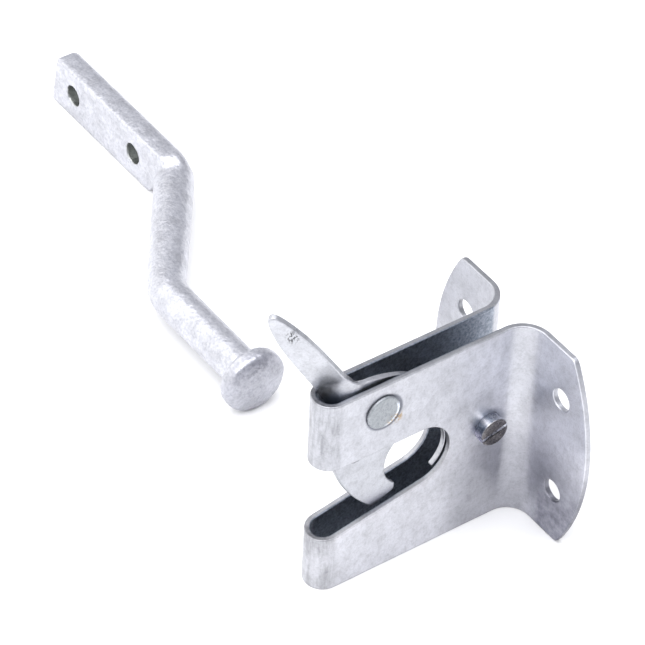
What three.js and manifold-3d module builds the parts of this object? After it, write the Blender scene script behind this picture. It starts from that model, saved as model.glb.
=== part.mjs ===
// Automatic gate latch with its strike bar, in millimetres, +Z up.
// The latch stands on its lower edges at z = 0: its mounting faces look along +Y and its nose along -Y.
// The loose strike bar lies beside it at -X, on the same level.
import * as THREE from 'three';
import { mergeVertices } from 'three/addons/utils/BufferGeometryUtils.js';
import Module from 'manifold-3d';

// ---- Latch body: one bent strip ----
const bodyHeight = 76;
const bodyDepth = 77; // mounting face to the front of the nose
const sheet = 2;
const plateGap = 8.4; // inside the U
const flangeBendRadius = 7.85; // inside the bend
const flangeHalfSpan = 28; // at the top and bottom corners
const flangeBulge = 10; // how far the side edge bows out beyond the corners
const fixingHole = 7.5;
const fixingHoleX = 24;
const fixingHoleInset = 19; // from the top and bottom edges

// ---- Mouth ----
const mouthRoof = 26; // below the top edge
const mouthHeight = 29.5; // at the nose
const pocketRadius = 11.25; // rounded end of the mouth
const pocketInset = 36.5; // from the nose to the centre of the rounded end

// ---- Fasteners ----
const pivotDrop = 11.05; // below the mouth's roof
const screwShank = 6;
const screwHead = 10;
const screwHeadHeight = 3.9;
const screwLength = 20;
const screwSlotWidth = 1.6;
const screwSlotDepth = 2;
const screwSlotTilt = 0.27; // radians from level
const nutFlats = 10;
const nutHeight = 5;
const rivetInset = 21; // from the nose
const rivetDrop = 10; // below the top edge
const rivetShank = 6;
const rivetHead = 12;
const rivetHeadHeight = 1.2;
const rivetTail = 9; // peened end on the far side
const rivetTailHeight = 1.6;
const spacerOuter = 10;
const washerOuter = 12;
const washerThickness = 0.6;

// ---- Tongue ----
const tongueThickness = 2;
const tongueLift = 20; // degrees of travel
const bossRadius = 10.5; // around the pivot
const humpRadius = 40; // top edge
const humpInset = 13.4; // its centre, from the nose
const humpDrop = 38; // its centre, below the top edge
const camRadius = 50; // front edge that the bar pushes
const camTrim = 0.4047; // cut off it by the straight front edge
const camDrop = 14; // its centre, below the top edge
const armInset = 19.6; // lower end of the front arm, from the nose
const armRise = 3.2; // lower end of the front arm, above the sill
const throatWidth = 14; // way in for the bar, below the notch
const leafWidth = 11;
const leafTipReach = 11.5; // in front of the nose
const leafTipRise = 33.5; // above the top edge
const leafTipLean = 8.2; // to the far side of the middle
const leafKneeInset = 4.8; // where the leaf has finished turning, from the nose
const leafKneeRise = 7; // above the top edge
const leafKneeLean = 1.4; // to the far side of the middle
const leafRootInset = 11; // from the nose
const leafRootDrop = 5; // below the top edge
const leafRootWidth = 7;
const leafTurn = 42; // degrees that its face turns forward
const leafSteps = 24;

// ---- Clearances ----
const runningGap = 0.15; // between turning faces
const shankGap = 0.2; // radial, round the screw and the rivet
const stopGap = 0.3; // at the ends of the tongue's slot
const noseGap = 0.6; // tongue to the inside of the nose

// ---- Strike bar ----
const barRadius = 6.35;
const crankRadius = 6.8; // the crank swells a little in forging
const barHead = 22.5;
const barHeadRim = 5;
const barHeadBevel = 0.6; // behind the rim
const barDome = 2.5;
const barPadHeight = 20;
const barPadThickness = 10.5;
const barPadFront = 5; // flat face in front of the bar's axis
const barPadCrown = 7; // depth of the rounded back, behind the section's widest line
const barPadFullness = 3; // 2 is an ellipse, and more is squarer
const barPadLength = 68.3;
const barForging = 4; // length over which the flat runs out into the round
const barEndSlant = 3.4; // how far the sheared end leans back at its top
const barHole = 7.5;
const barHoleInset = 13.5;
const barHoleSpacing = 37;
const crankRun = 48; // along the bar, between the two bends
const crankOffset = 35.5; // across the bar
const padBendRadius = 11;
const rodBendRadius = 17;
const barGap = 32; // from the bar's head to the latch, as they lie
const barSetBack = 10; // bar's flat in front of the mounting face, as they lie
const crankStart = 68.8; // from the flat end to the first bend's corner
const barLength = 163.3;

// ---- Fineness ----
const arcSteps = 20;
const holeSteps = 32;

const wasm = await Module();
wasm.setup();

const rad = THREE.MathUtils.degToRad;
const halfWidth = plateGap / 2 + sheet;
const mouthTop = bodyHeight - mouthRoof;
const mouthSill = mouthTop - mouthHeight;
const pocketY = -bodyDepth + pocketInset;
const pocketZ = mouthTop - pocketRadius;
const pivotY = -sheet - flangeBendRadius - Math.max(screwHead, nutFlats) / 2;
const pivotZ = mouthTop - pivotDrop;
const rivetY = -bodyDepth + rivetInset;
const rivetZ = bodyHeight - rivetDrop;
const noseCentreY = -bodyDepth + halfWidth;
const bendCentreX = halfWidth + flangeBendRadius;
const bendCentreY = -sheet - flangeBendRadius;

function toManifold(geometry) {
  const bare = geometry.clone();
  bare.deleteAttribute('normal');
  bare.deleteAttribute('uv');
  const merged = mergeVertices(bare, 1e-4);
  const mesh = new wasm.Mesh({
    numProp: 3,
    vertProperties: new Float32Array(merged.attributes.position.array),
    triVerts: new Uint32Array(merged.index.array),
  });
  return new wasm.Manifold(mesh);
}

function toGeometry(solid) {
  const mesh = solid.getMesh();
  const geometry = new THREE.BufferGeometry();
  geometry.setAttribute('position', new THREE.BufferAttribute(new Float32Array(mesh.vertProperties), 3));
  geometry.setIndex(new THREE.BufferAttribute(new Uint32Array(mesh.triVerts), 1));
  geometry.computeVertexNormals();
  return geometry;
}

// Shapes are drawn on one plane and pushed along the third axis, from `start` for `length`.
const planes = {
  xy: new THREE.Matrix4(),
  yz: new THREE.Matrix4().makeBasis(
    new THREE.Vector3(0, 1, 0), new THREE.Vector3(0, 0, 1), new THREE.Vector3(1, 0, 0)),
  xz: new THREE.Matrix4().makeBasis(
    new THREE.Vector3(1, 0, 0), new THREE.Vector3(0, 0, 1), new THREE.Vector3(0, -1, 0)),
};

function push(shape, plane, start, length) {
  const geometry = new THREE.ExtrudeGeometry(shape, {
    depth: length,
    bevelEnabled: false,
    curveSegments: arcSteps,
  });
  geometry.translate(0, 0, start);
  geometry.applyMatrix4(planes[plane]);
  return toManifold(geometry);
}

function disc(u, v, radius) {
  const shape = new THREE.Shape();
  for (let i = 0; i < holeSteps; i += 1) {
    const a = (i / holeSteps) * Math.PI * 2;
    const point = [u + radius * Math.cos(a), v + radius * Math.sin(a)];
    if (i === 0) shape.moveTo(...point);
    else shape.lineTo(...point);
  }
  shape.closePath();
  return shape;
}

// A turned piece: `profile` lists [radius, x] pairs, and the axis lies along X at (y, z).
function turned(profile, y, z) {
  const points = profile.map(([r, x]) => new THREE.Vector2(r, x));
  const geometry = new THREE.LatheGeometry(points, holeSteps);
  geometry.rotateZ(-Math.PI / 2);
  geometry.translate(0, y, z);
  return toManifold(geometry);
}

// A solid skinned over closed rings of points, with flat ends.
function loft(rings) {
  const count = rings[0].length;
  const positions = rings.flat().flatMap((p) => p.toArray());
  const index = [];
  for (let r = 0; r + 1 < rings.length; r += 1) {
    for (let i = 0; i < count; i += 1) {
      const a = r * count + i;
      const b = r * count + ((i + 1) % count);
      index.push(a, b, b + count, a, b + count, a + count);
    }
  }
  const last = (rings.length - 1) * count;
  for (let i = 1; i + 1 < count; i += 1) {
    index.push(0, i + 1, i, last, last + i, last + i + 1);
  }
  const geometry = new THREE.BufferGeometry();
  geometry.setAttribute('position', new THREE.Float32BufferAttribute(positions, 3));
  geometry.setIndex(index);
  return toManifold(geometry);
}

// ---------------------------------------------------------------- latch body
function stripOutline() {
  const inner = plateGap / 2;
  const reach = flangeHalfSpan + flangeBulge;
  const outerBend = flangeBendRadius + sheet;
  const s = new THREE.Shape();
  s.moveTo(reach, 0);
  s.lineTo(bendCentreX, 0);
  s.absarc(bendCentreX, bendCentreY, outerBend, Math.PI / 2, Math.PI, false);
  s.absarc(0, noseCentreY, inner, 0, -Math.PI, true);
  s.absarc(-bendCentreX, bendCentreY, outerBend, 0, Math.PI / 2, false);
  s.lineTo(-reach, 0);
  s.lineTo(-reach, -sheet);
  s.absarc(-bendCentreX, bendCentreY, flangeBendRadius, Math.PI / 2, 0, true);
  s.absarc(0, noseCentreY, halfWidth, Math.PI, Math.PI * 2, false);
  s.absarc(bendCentreX, bendCentreY, flangeBendRadius, Math.PI, Math.PI / 2, true);
  s.lineTo(reach, -sheet);
  s.closePath();
  return s;
}

// Front view of the strip: level top and bottom, side edges bowed out as arcs.
function frontOutline() {
  const half = bodyHeight / 2;
  const radius = (half * half + flangeBulge * flangeBulge) / (2 * flangeBulge);
  const centre = flangeHalfSpan + flangeBulge - radius;
  const angle = Math.asin(half / radius);
  const s = new THREE.Shape();
  s.moveTo(-flangeHalfSpan, 0);
  s.lineTo(flangeHalfSpan, 0);
  s.absarc(centre, half, radius, -angle, angle, false);
  s.lineTo(-flangeHalfSpan, bodyHeight);
  s.absarc(-centre, half, radius, Math.PI - angle, Math.PI + angle, false);
  return s;
}

// Side view of the mouth: level roof, round end, sill running down to the nose.
function mouthOutline() {
  const past = 5; // beyond the nose
  const dy = pocketY + bodyDepth;
  const dz = pocketZ - mouthSill;
  const slope = Math.atan2(dz, dy) - Math.asin(pocketRadius / Math.hypot(dy, dz));
  const s = new THREE.Shape();
  s.moveTo(-bodyDepth - past, mouthTop);
  s.lineTo(pocketY, mouthTop);
  s.absarc(pocketY, pocketZ, pocketRadius, Math.PI / 2, slope - Math.PI / 2, true);
  s.lineTo(-bodyDepth - past, mouthSill - past * Math.tan(slope));
  s.closePath();
  return s;
}

function latchBody() {
  const width = 2 * (halfWidth + 1);
  let body = push(stripOutline(), 'xy', 0, bodyHeight);
  body = body.intersect(push(frontOutline(), 'xz', -1, bodyDepth + 2));
  body = body.subtract(push(mouthOutline(), 'yz', -width / 2, width));
  for (const x of [-fixingHoleX, fixingHoleX]) {
    for (const z of [fixingHoleInset, bodyHeight - fixingHoleInset]) {
      body = body.subtract(push(disc(x, z, fixingHole / 2), 'xz', -1, sheet + 2));
    }
  }
  const screwHole = disc(pivotY, pivotZ, screwShank / 2 + shankGap);
  const rivetHole = disc(rivetY, rivetZ, rivetShank / 2 + shankGap);
  body = body.subtract(push(screwHole, 'yz', -width / 2, width));
  body = body.subtract(push(rivetHole, 'yz', -width / 2, width));
  return body;
}

// ---------------------------------------------------------------- tongue
// Stack inside the U, from the near plate inwards: washer, gap, tongue, gap, spacer.
const tongueOuterX = plateGap / 2 - washerThickness - runningGap;
const tongueInnerX = tongueOuterX - tongueThickness;
const spacerLength = tongueInnerX - runningGap + plateGap / 2;

function tongueOutline() {
  const humpY = -bodyDepth + humpInset;
  const humpZ = bodyHeight - humpDrop;
  const camZ = bodyHeight - camDrop;
  // The arm's lower edge points at the pivot.
  const arm = Math.atan2(pivotZ - mouthSill - armRise, pivotY + bodyDepth - armInset);
  const front = noseCentreY - Math.sqrt((plateGap / 2) ** 2 - tongueOuterX ** 2) + noseGap;
  const camY = front + camRadius - camTrim;
  const camTop = Math.PI + Math.acos(1 - camTrim / camRadius);
  const offset = (pivotZ - camZ) * Math.cos(arm) - (pivotY - camY) * Math.sin(arm);
  const camEnd = Math.PI * 1.5 + arm - Math.acos(-offset / camRadius);
  const reach = Math.hypot(pivotY - humpY, pivotZ - humpZ);
  const line = Math.atan2(pivotZ - humpZ, pivotY - humpY);
  const tangent = line + Math.acos((humpRadius - bossRadius) / reach);
  const humpEnd = Math.acos((front - humpY) / humpRadius);
  const s = new THREE.Shape();
  s.absarc(camY, camZ, camRadius, camTop, camEnd, false);
  s.lineTo(pocketY, pivotZ + (pocketY - pivotY) * Math.tan(arm));
  s.lineTo(pocketY, pivotZ - bossRadius);
  s.absarc(pivotY, pivotZ, bossRadius, -Math.PI / 2, tangent, false);
  s.absarc(humpY, humpZ, humpRadius, tangent, humpEnd, false);
  s.closePath();
  return s;
}

// The rivet stands still in this slot while the tongue lifts.
function guideSlot() {
  const y = rivetY - pivotY;
  const z = rivetZ - pivotZ;
  const radius = Math.hypot(y, z);
  const half = rivetShank / 2 + shankGap;
  const start = Math.atan2(z, y) - stopGap / radius;
  const end = Math.atan2(z, y) + rad(tongueLift) + stopGap / radius;
  const at = (a) => [pivotY + radius * Math.cos(a), pivotZ + radius * Math.sin(a)];
  const s = new THREE.Shape();
  s.absarc(pivotY, pivotZ, radius + half, start, end, false);
  s.absarc(...at(end), half, end, end + Math.PI, false);
  s.absarc(pivotY, pivotZ, radius - half, end, start, true);
  s.absarc(...at(start), half, start - Math.PI, start, false);
  s.closePath();
  return s;
}

// Thumb leaf: it grows out of the plate, turns its face forward and leans to the far side.
function leaf() {
  const middle = (tongueOuterX + tongueInnerX) / 2;
  const root = new THREE.Vector3(middle, -bodyDepth + leafRootInset, bodyHeight - leafRootDrop);
  const knee = new THREE.Vector3(-leafKneeLean, -bodyDepth + leafKneeInset, bodyHeight + leafKneeRise);
  const tip = new THREE.Vector3(-leafTipLean, -bodyDepth - leafTipReach, bodyHeight + leafTipRise);
  const path = new THREE.CatmullRomCurve3([root, knee, tip]);
  const full = knee.z - root.z; // rise at which the leaf has its full width and turn
  const rings = [];
  for (let i = 0; i <= leafSteps; i += 1) {
    const centre = path.getPoint(i / leafSteps);
    const along = path.getTangent(i / leafSteps);
    const rise = centre.z - root.z;
    const grown = THREE.MathUtils.smoothstep(rise, full * 0.3, full);
    const taper = (1 - THREE.MathUtils.clamp(rise / (tip.z - root.z), 0, 0.995) ** 4) ** 0.65;
    const half = THREE.MathUtils.lerp(leafRootWidth, leafWidth, grown) * taper / 2;
    const across = new THREE.Vector3(1, 0, 0).cross(along).normalize();
    across.applyAxisAngle(along, -rad(leafTurn) * grown);
    const face = new THREE.Vector3().crossVectors(along, across);
    const t = tongueThickness / 2;
    const corners = [[half, t * 0.5], [half - t * 0.5, t], [t * 0.5 - half, t], [-half, t * 0.5]];
    const ring = [...corners, ...corners.map(([u, v]) => [-u, -v])];
    rings.push(ring.map(([u, v]) => centre.clone().addScaledVector(across, u).addScaledVector(face, v)));
  }
  return loft(rings);
}

function tongue() {
  const deep = tongueThickness + 2;
  let plate = push(tongueOutline(), 'yz', tongueInnerX, tongueThickness);
  plate = plate.subtract(push(disc(pocketY, pocketZ, pocketRadius), 'yz', tongueInnerX - 1, deep));
  const throat = new THREE.Shape();
  throat.moveTo(pocketY - throatWidth / 2, 0);
  throat.lineTo(pocketY + throatWidth / 2, 0);
  throat.lineTo(pocketY + throatWidth / 2, pocketZ);
  throat.lineTo(pocketY - throatWidth / 2, pocketZ);
  throat.closePath();
  plate = plate.subtract(push(throat, 'yz', tongueInnerX - 1, deep));
  plate = plate.subtract(push(guideSlot(), 'yz', tongueInnerX - 1, deep));
  const pivotHole = disc(pivotY, pivotZ, screwShank / 2 + shankGap);
  plate = plate.subtract(push(pivotHole, 'yz', tongueInnerX - 1, deep));
  return plate.add(leaf());
}

// ---------------------------------------------------------------- fasteners
function pivotScrew() {
  const shank = screwShank / 2;
  const head = screwHead / 2;
  const under = halfWidth;
  const top = under + screwHeadHeight;
  const end = under - screwLength;
  const edge = 0.5; // rounding of the head's rim and the shank's end
  const body = turned([
    [0, end], [shank - edge, end], [shank, end + edge], [shank, under], [head, under],
    [head, top - edge], [head - edge, top], [0, top],
  ], pivotY, pivotZ);
  const cosine = Math.cos(screwSlotTilt);
  const sine = Math.sin(screwSlotTilt);
  const slot = new THREE.Shape();
  [[-1, -1], [1, -1], [1, 1], [-1, 1]].forEach(([su, sv], i) => {
    const u = su * screwHead;
    const v = (sv * screwSlotWidth) / 2;
    const point = [pivotY + u * cosine - v * sine, pivotZ + u * sine + v * cosine];
    if (i === 0) slot.moveTo(...point);
    else slot.lineTo(...point);
  });
  slot.closePath();
  return body.subtract(push(slot, 'yz', top - screwSlotDepth, screwSlotDepth + 1));
}

function pivotNut() {
  const corner = nutFlats / Math.sqrt(3);
  const hexagon = new THREE.Shape();
  for (let i = 0; i < 6; i += 1) {
    const a = ((i + 0.5) * Math.PI) / 3;
    const point = [pivotY + corner * Math.cos(a), pivotZ + corner * Math.sin(a)];
    if (i === 0) hexagon.moveTo(...point);
    else hexagon.lineTo(...point);
  }
  hexagon.closePath();
  const bore = disc(pivotY, pivotZ, screwShank / 2 + shankGap);
  const block = push(hexagon, 'yz', -halfWidth - nutHeight, nutHeight);
  return block.subtract(push(bore, 'yz', -halfWidth - nutHeight - 1, nutHeight + 2));
}

// A tube round the screw, between the x values `from` and `to`.
function collar(outer, from, to) {
  const tube = push(disc(pivotY, pivotZ, outer / 2), 'yz', from, to - from);
  const bore = disc(pivotY, pivotZ, screwShank / 2 + shankGap);
  return tube.subtract(push(bore, 'yz', from - 1, to - from + 2));
}

function guideRivet() {
  const shank = rivetShank / 2;
  const head = rivetHead / 2;
  const tail = rivetTail / 2;
  const near = halfWidth;
  const far = -halfWidth;
  const rim = rivetHeadHeight / 2; // rounding of both rims
  return turned([
    [0, far - rivetTailHeight], [tail / 2, far - rivetTailHeight], [tail, far - rim], [tail, far],
    [shank, far], [shank, near], [head, near], [head, near + rim],
    [head - rim, near + rivetHeadHeight], [0, near + rivetHeadHeight],
  ], rivetY, rivetZ);
}

// ---------------------------------------------------------------- strike bar
const headRadius = barHead / 2;
const barStartX = -flangeHalfSpan - flangeBulge - barGap - barDome - barHeadRim - barLength;

// Stations down the bar's centre line, each with its place, heading and distance from the flat end.
function barStations() {
  const turn = Math.atan2(crankOffset, crankRun);
  const padCut = padBendRadius * Math.tan(turn / 2);
  const rodCut = rodBendRadius * Math.tan(turn / 2);
  const slant = Math.hypot(crankRun, crankOffset) - padCut - rodCut;
  const last = barLength - crankStart - crankRun - rodCut;
  const pieces = [
    { length: crankStart - padCut, bend: 0, steps: 14 },
    { length: padBendRadius * turn, bend: -turn, steps: 6 },
    { length: slant, bend: 0, steps: 4 },
    { length: rodBendRadius * turn, bend: turn, steps: 7 },
    { length: last, bend: 0, steps: 2 },
  ];
  const stations = [{ x: barStartX, y: -barSetBack, heading: 0, gone: 0 }];
  for (const { length, bend, steps } of pieces) {
    for (let i = 0; i < steps; i += 1) {
      const from = stations[stations.length - 1];
      const step = bend === 0 ? length / steps : (2 * length * Math.sin(bend / steps / 2)) / bend;
      const mid = from.heading + bend / steps / 2;
      stations.push({
        x: from.x + step * Math.cos(mid),
        y: from.y + step * Math.sin(mid),
        heading: from.heading + bend / steps,
        gone: from.gone + length / steps,
      });
    }
  }
  return stations;
}

// The flat is a full oval cut off by its front face; the rest is round.
function barRing({ x, y, heading, gone }) {
  const flat = 1 - THREE.MathUtils.smoothstep(gone, barPadLength - barForging, barPadLength);
  const straight = THREE.MathUtils.smoothstep(gone, crankStart + crankRun / 2, crankStart + crankRun);
  const radius = THREE.MathUtils.lerp(crankRadius, barRadius, straight);
  const mix = (round, pad) => THREE.MathUtils.lerp(round, pad, flat);
  const full = (c) => Math.sign(c) * Math.abs(c) ** mix(1, 2 / barPadFullness);
  const slant = gone === 0 ? barEndSlant / barPadHeight : 0;
  const points = [];
  for (let i = 0; i < holeSteps; i += 1) {
    const a = (i / holeSteps) * Math.PI * 2;
    const widest = mix(0, barPadThickness - barPadFront - barPadCrown);
    const side = Math.max(widest + mix(radius, barPadCrown) * full(Math.cos(a)), -mix(radius, barPadFront));
    const up = mix(headRadius, barPadHeight / 2) + mix(radius, barPadHeight / 2) * full(Math.sin(a));
    const along = slant * up;
    points.push(new THREE.Vector3(x + along - side * Math.sin(heading), y + side * Math.cos(heading), up));
  }
  return points;
}

function strikeBar() {
  const stations = barStations();
  const end = stations[stations.length - 1];
  const rim = end.x + barHeadRim;
  const dome = [];
  for (let i = 0; i <= 6; i += 1) {
    const a = (i / 6) * (Math.PI / 2);
    dome.push([headRadius * Math.cos(a), rim + barDome * Math.sin(a)]);
  }
  // The head's root is buried in the end of the bar.
  const head = turned([
    [0, end.x - 2], [barRadius - 0.1, end.x - 2], [headRadius - barHeadBevel, end.x],
    [headRadius, end.x + barHeadBevel],
    ...dome.slice(0, -1), [0, rim + barDome],
  ], end.y, headRadius);
  let bar = loft(stations.map(barRing)).add(head);
  for (const along of [barHoleInset, barHoleInset + barHoleSpacing]) {
    const hole = disc(barStartX + along, barPadHeight / 2, barHole / 2);
    const start = barSetBack - barPadThickness;
    bar = bar.subtract(push(hole, 'xz', start, barPadThickness * 2));
  }
  return bar;
}

// ---------------------------------------------------------------- assembly
const finishes = {
  galvanised: { color: 0xc6cad2, roughness: 0.45, metalness: 0.85 },
  zincPlated: { color: 0xd2d2cf, roughness: 0.3, metalness: 0.95 },
  castZinc: { color: 0xd0d3da, roughness: 0.55, metalness: 0.8 },
};

const set = new THREE.Group();

function place(name, solid, finish) {
  const mesh = new THREE.Mesh(toGeometry(solid), new THREE.MeshStandardMaterial(finishes[finish]));
  mesh.name = name;
  set.add(mesh);
}

place('latch_body', latchBody(), 'galvanised');
place('latch_tongue', tongue(), 'galvanised');
place('pivot_screw', pivotScrew(), 'zincPlated');
place('pivot_nut', pivotNut(), 'zincPlated');
place('pivot_washer', collar(washerOuter, plateGap / 2 - washerThickness, plateGap / 2), 'zincPlated');
place('pivot_spacer', collar(spacerOuter, -plateGap / 2, spacerLength - plateGap / 2), 'zincPlated');
place('guide_rivet', guideRivet(), 'galvanised');
place('strike_bar', strikeBar(), 'castZinc');

// The origin is the middle of the set's footprint, on the surface that it stands on.
const box = new THREE.Box3().setFromObject(set);
set.position.set(-(box.min.x + box.max.x) / 2, -(box.min.y + box.max.y) / 2, -box.min.z);

const model = new THREE.Group();
model.add(set);

export default model;
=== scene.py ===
import math

import bmesh
import bpy
import numpy as np
from mathutils import Matrix, Vector, noise
from mathutils.geometry import delaunay_2d_cdt


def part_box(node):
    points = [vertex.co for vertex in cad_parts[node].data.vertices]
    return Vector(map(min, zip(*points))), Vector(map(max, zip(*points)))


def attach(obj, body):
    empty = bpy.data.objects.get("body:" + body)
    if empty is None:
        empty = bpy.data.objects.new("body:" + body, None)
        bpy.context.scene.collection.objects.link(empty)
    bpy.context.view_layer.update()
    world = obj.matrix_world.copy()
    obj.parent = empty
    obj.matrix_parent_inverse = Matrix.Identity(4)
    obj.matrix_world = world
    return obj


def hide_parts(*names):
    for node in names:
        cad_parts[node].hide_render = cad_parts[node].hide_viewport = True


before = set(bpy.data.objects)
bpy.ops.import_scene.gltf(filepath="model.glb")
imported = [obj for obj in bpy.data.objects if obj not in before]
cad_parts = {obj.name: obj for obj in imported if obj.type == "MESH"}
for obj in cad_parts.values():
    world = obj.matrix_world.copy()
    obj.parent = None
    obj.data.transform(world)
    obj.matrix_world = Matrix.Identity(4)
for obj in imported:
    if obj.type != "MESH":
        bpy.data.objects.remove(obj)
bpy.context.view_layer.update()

# ---------------------------------------------------------------- camera
# It looks down at the latch from the screw's side, past the nose.
# Its place is measured from the middle of the latch's mounting face, at the height of the table.
body_low, body_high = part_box("latch_body")
latch = Vector(((body_low.x + body_high.x) / 2, body_high.y, body_low.z))

camera_data = bpy.data.cameras.new("camera")
camera_data.lens = 226.12
camera_data.sensor_width = 36
camera = bpy.data.objects.new("camera", camera_data)
bpy.context.scene.collection.objects.link(camera)
right = Vector((0.57816, 0.81512, 0.03609))
up = Vector((-0.56077, 0.36483, 0.74325))
back = Vector((0.59268, -0.44996, 0.66803))
turn = Matrix((right, up, back)).transposed().to_4x4()
camera.matrix_world = Matrix.Translation(latch + Vector((0.69170, -0.60034, 0.88594))) @ turn
bpy.context.scene.camera = camera

# ---------------------------------------------------------------- latch body
# One strip of 2 mm steel: the mouth and the holes are punched while it is flat.
# It is bent round a former to a U with a round nose and two flanges, then dipped in molten zinc.
# The coat is pale and faintly blue, with fine grain, scuffs and dull specks. The cut edges carry painted
# shade.

# Lengths are in millimetres, from the middle of the mounting face. The nose points towards -Y.
nose_centre = -70.8
pivot = np.array((-14.85, 38.95))


def metal(name, colour, roughness):
    """A new metal finish, with its nodes and its shader."""
    finish = bpy.data.materials.new(name)
    finish.use_nodes = True
    shader = finish.node_tree.nodes["Principled BSDF"]
    shader.inputs["Base Color"].default_value = (*colour, 1)
    shader.inputs["Metallic"].default_value = 1
    shader.inputs["Roughness"].default_value = roughness
    return finish, finish.node_tree, shader


def add(tree, kind, **settings):
    node = tree.nodes.new(kind)
    for key, value in settings.items():
        setattr(node, key, value)
    return node


def grain(tree, scale, detail=2.0, rough=0.5, stretch=(1, 1, 1)):
    """A noise over the piece's own coordinates: grains per metre, and how far it is drawn out."""
    place = add(tree, "ShaderNodeTexCoord")
    fit = add(tree, "ShaderNodeMapping")
    fit.inputs["Scale"].default_value = stretch
    tree.links.new(place.outputs["Object"], fit.inputs["Vector"])
    cloud = add(tree, "ShaderNodeTexNoise")
    cloud.inputs["Scale"].default_value = scale
    cloud.inputs["Detail"].default_value = detail
    cloud.inputs["Roughness"].default_value = rough
    tree.links.new(fit.outputs["Vector"], cloud.inputs["Vector"])
    return cloud.outputs["Fac"]


def offset_from(tree, centre, weights):
    """A point's offset from a place on the latch, in millimetres, with each axis weighted."""
    place = add(tree, "ShaderNodeTexCoord")
    shift = add(tree, "ShaderNodeVectorMath", operation="SUBTRACT")
    shift.inputs[1].default_value = latch + Vector(centre) * 0.001
    scale = add(tree, "ShaderNodeVectorMath", operation="MULTIPLY")
    scale.inputs[1].default_value = Vector(weights) * 1000
    tree.links.new(place.outputs["Object"], shift.inputs[0])
    tree.links.new(shift.outputs["Vector"], scale.inputs[0])
    return scale.outputs["Vector"]


def near(tree, centre, weights, inner, outer):
    """1 within the inner distance of a place or a line, falling to 0 at the outer distance."""
    length = add(tree, "ShaderNodeVectorMath", operation="LENGTH")
    tree.links.new(offset_from(tree, centre, weights), length.inputs[0])
    return band(tree, length.outputs["Value"], outer, inner)


def beyond(tree, axis, low, high):
    """0 below the low place on an axis, rising to 1 at the high one."""
    part = add(tree, "ShaderNodeSeparateXYZ")
    tree.links.new(offset_from(tree, (0, 0, 0), (1, 1, 1)), part.inputs["Vector"])
    return band(tree, part.outputs[axis], low, high)


def band(tree, value, low, high):
    """A smooth step of a value: 0 at the low end and 1 at the high one."""
    fit = add(tree, "ShaderNodeMapRange", interpolation_type="SMOOTHSTEP")
    fit.inputs["From Min"].default_value = low
    fit.inputs["From Max"].default_value = high
    tree.links.new(value, fit.inputs["Value"])
    return fit.outputs["Result"]


def both(tree, first, second):
    """Where two masks hold at once."""
    node = add(tree, "ShaderNodeMath", operation="MULTIPLY")
    tree.links.new(first, node.inputs[0])
    tree.links.new(second, node.inputs[1])
    return node.outputs["Value"]


def ramp(tree, value, stops):
    """Maps a value to colours or greys at the given stops."""
    node = add(tree, "ShaderNodeValToRGB")
    while len(node.color_ramp.elements) < len(stops):
        node.color_ramp.elements.new(0.5)
    for element, (at, shade) in zip(node.color_ramp.elements, stops):
        element.position = at
        element.color = (*shade, 1) if isinstance(shade, tuple) else (shade, shade, shade, 1)
    tree.links.new(value, node.inputs["Fac"])
    return node.outputs["Color"]


def blend(tree, mode, amount, below, above):
    node = add(tree, "ShaderNodeMix", data_type="RGBA", blend_type=mode)
    if hasattr(amount, "is_linked"):
        tree.links.new(amount, node.inputs["Factor"])
    else:
        node.inputs["Factor"].default_value = amount
    for socket, value in ((node.inputs["A"], below), (node.inputs["B"], above)):
        if hasattr(value, "is_linked"):
            tree.links.new(value, socket)
        else:
            socket.default_value = (*value, 1)
    return node.outputs["Result"]


def relief(tree, shader, layers):
    """Stacks fine unevenness on the surface: pairs of a height and its depth in metres."""
    before = None
    for height, depth in layers:
        bump = add(tree, "ShaderNodeBump")
        bump.inputs["Strength"].default_value = 1
        bump.inputs["Distance"].default_value = depth
        tree.links.new(height, bump.inputs["Height"])
        if before:
            tree.links.new(before, bump.inputs["Normal"])
        before = bump.outputs["Normal"]
    tree.links.new(before, shader.inputs["Normal"])


def zinc_coat_and_edge_shade(tree, colour, edge):
    """The coat's colour: fine grain, faint clouds, scuffs and specks, and painted shade on the cut edge,
    whose side is darkened to `edge`.
    """
    coat = ramp(tree, grain(tree, 1500, 3, 0.65), [(0.28, tuple(c * 0.84 for c in colour)), (0.55, colour)])
    clouds = ramp(tree, grain(tree, 110, 3, 0.55), [(0.3, 0.86), (0.62, 1.0)])
    scuffs = ramp(tree, grain(tree, 900, 3, 0.6, (1, 1, 0.12)), [(0.32, 0.86), (0.5, 1.0)])
    specks = ramp(tree, grain(tree, 1300, 4, 0.75), [(0.27, 0.35), (0.35, 1.0)])
    coat = blend(tree, "MULTIPLY", 1.0, coat, clouds)
    blots = ramp(tree, grain(tree, 380, 4, 0.7), [(0.33, 0.82), (0.55, 1.0)])
    coat = blend(tree, "MULTIPLY", 0.8, coat, blots)
    coat = blend(tree, "MULTIPLY", 0.3, coat, scuffs)
    coat = blend(tree, "MULTIPLY", 0.7, coat, specks)
    # Painted shade on the cut edge: a thin dark line where the face starts to round over, and a duller side.
    rim = add(tree, "ShaderNodeAttribute", attribute_name="rim")
    edge_shade = ramp(tree, rim.outputs["Fac"], [
        (0.0, 1.0), (0.25, 0.70), (0.45, 1.0), (0.70, 0.5 + edge / 2), (1.0, edge)])
    return blend(tree, "MULTIPLY", 1.0, coat, edge_shade)


sheet_finish, tree, shader = metal("galvanised_sheet", (0.60, 0.61, 0.66), 0.42)
tone = zinc_coat_and_edge_shade(tree, (0.655, 0.66, 0.705), 0.64)
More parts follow.
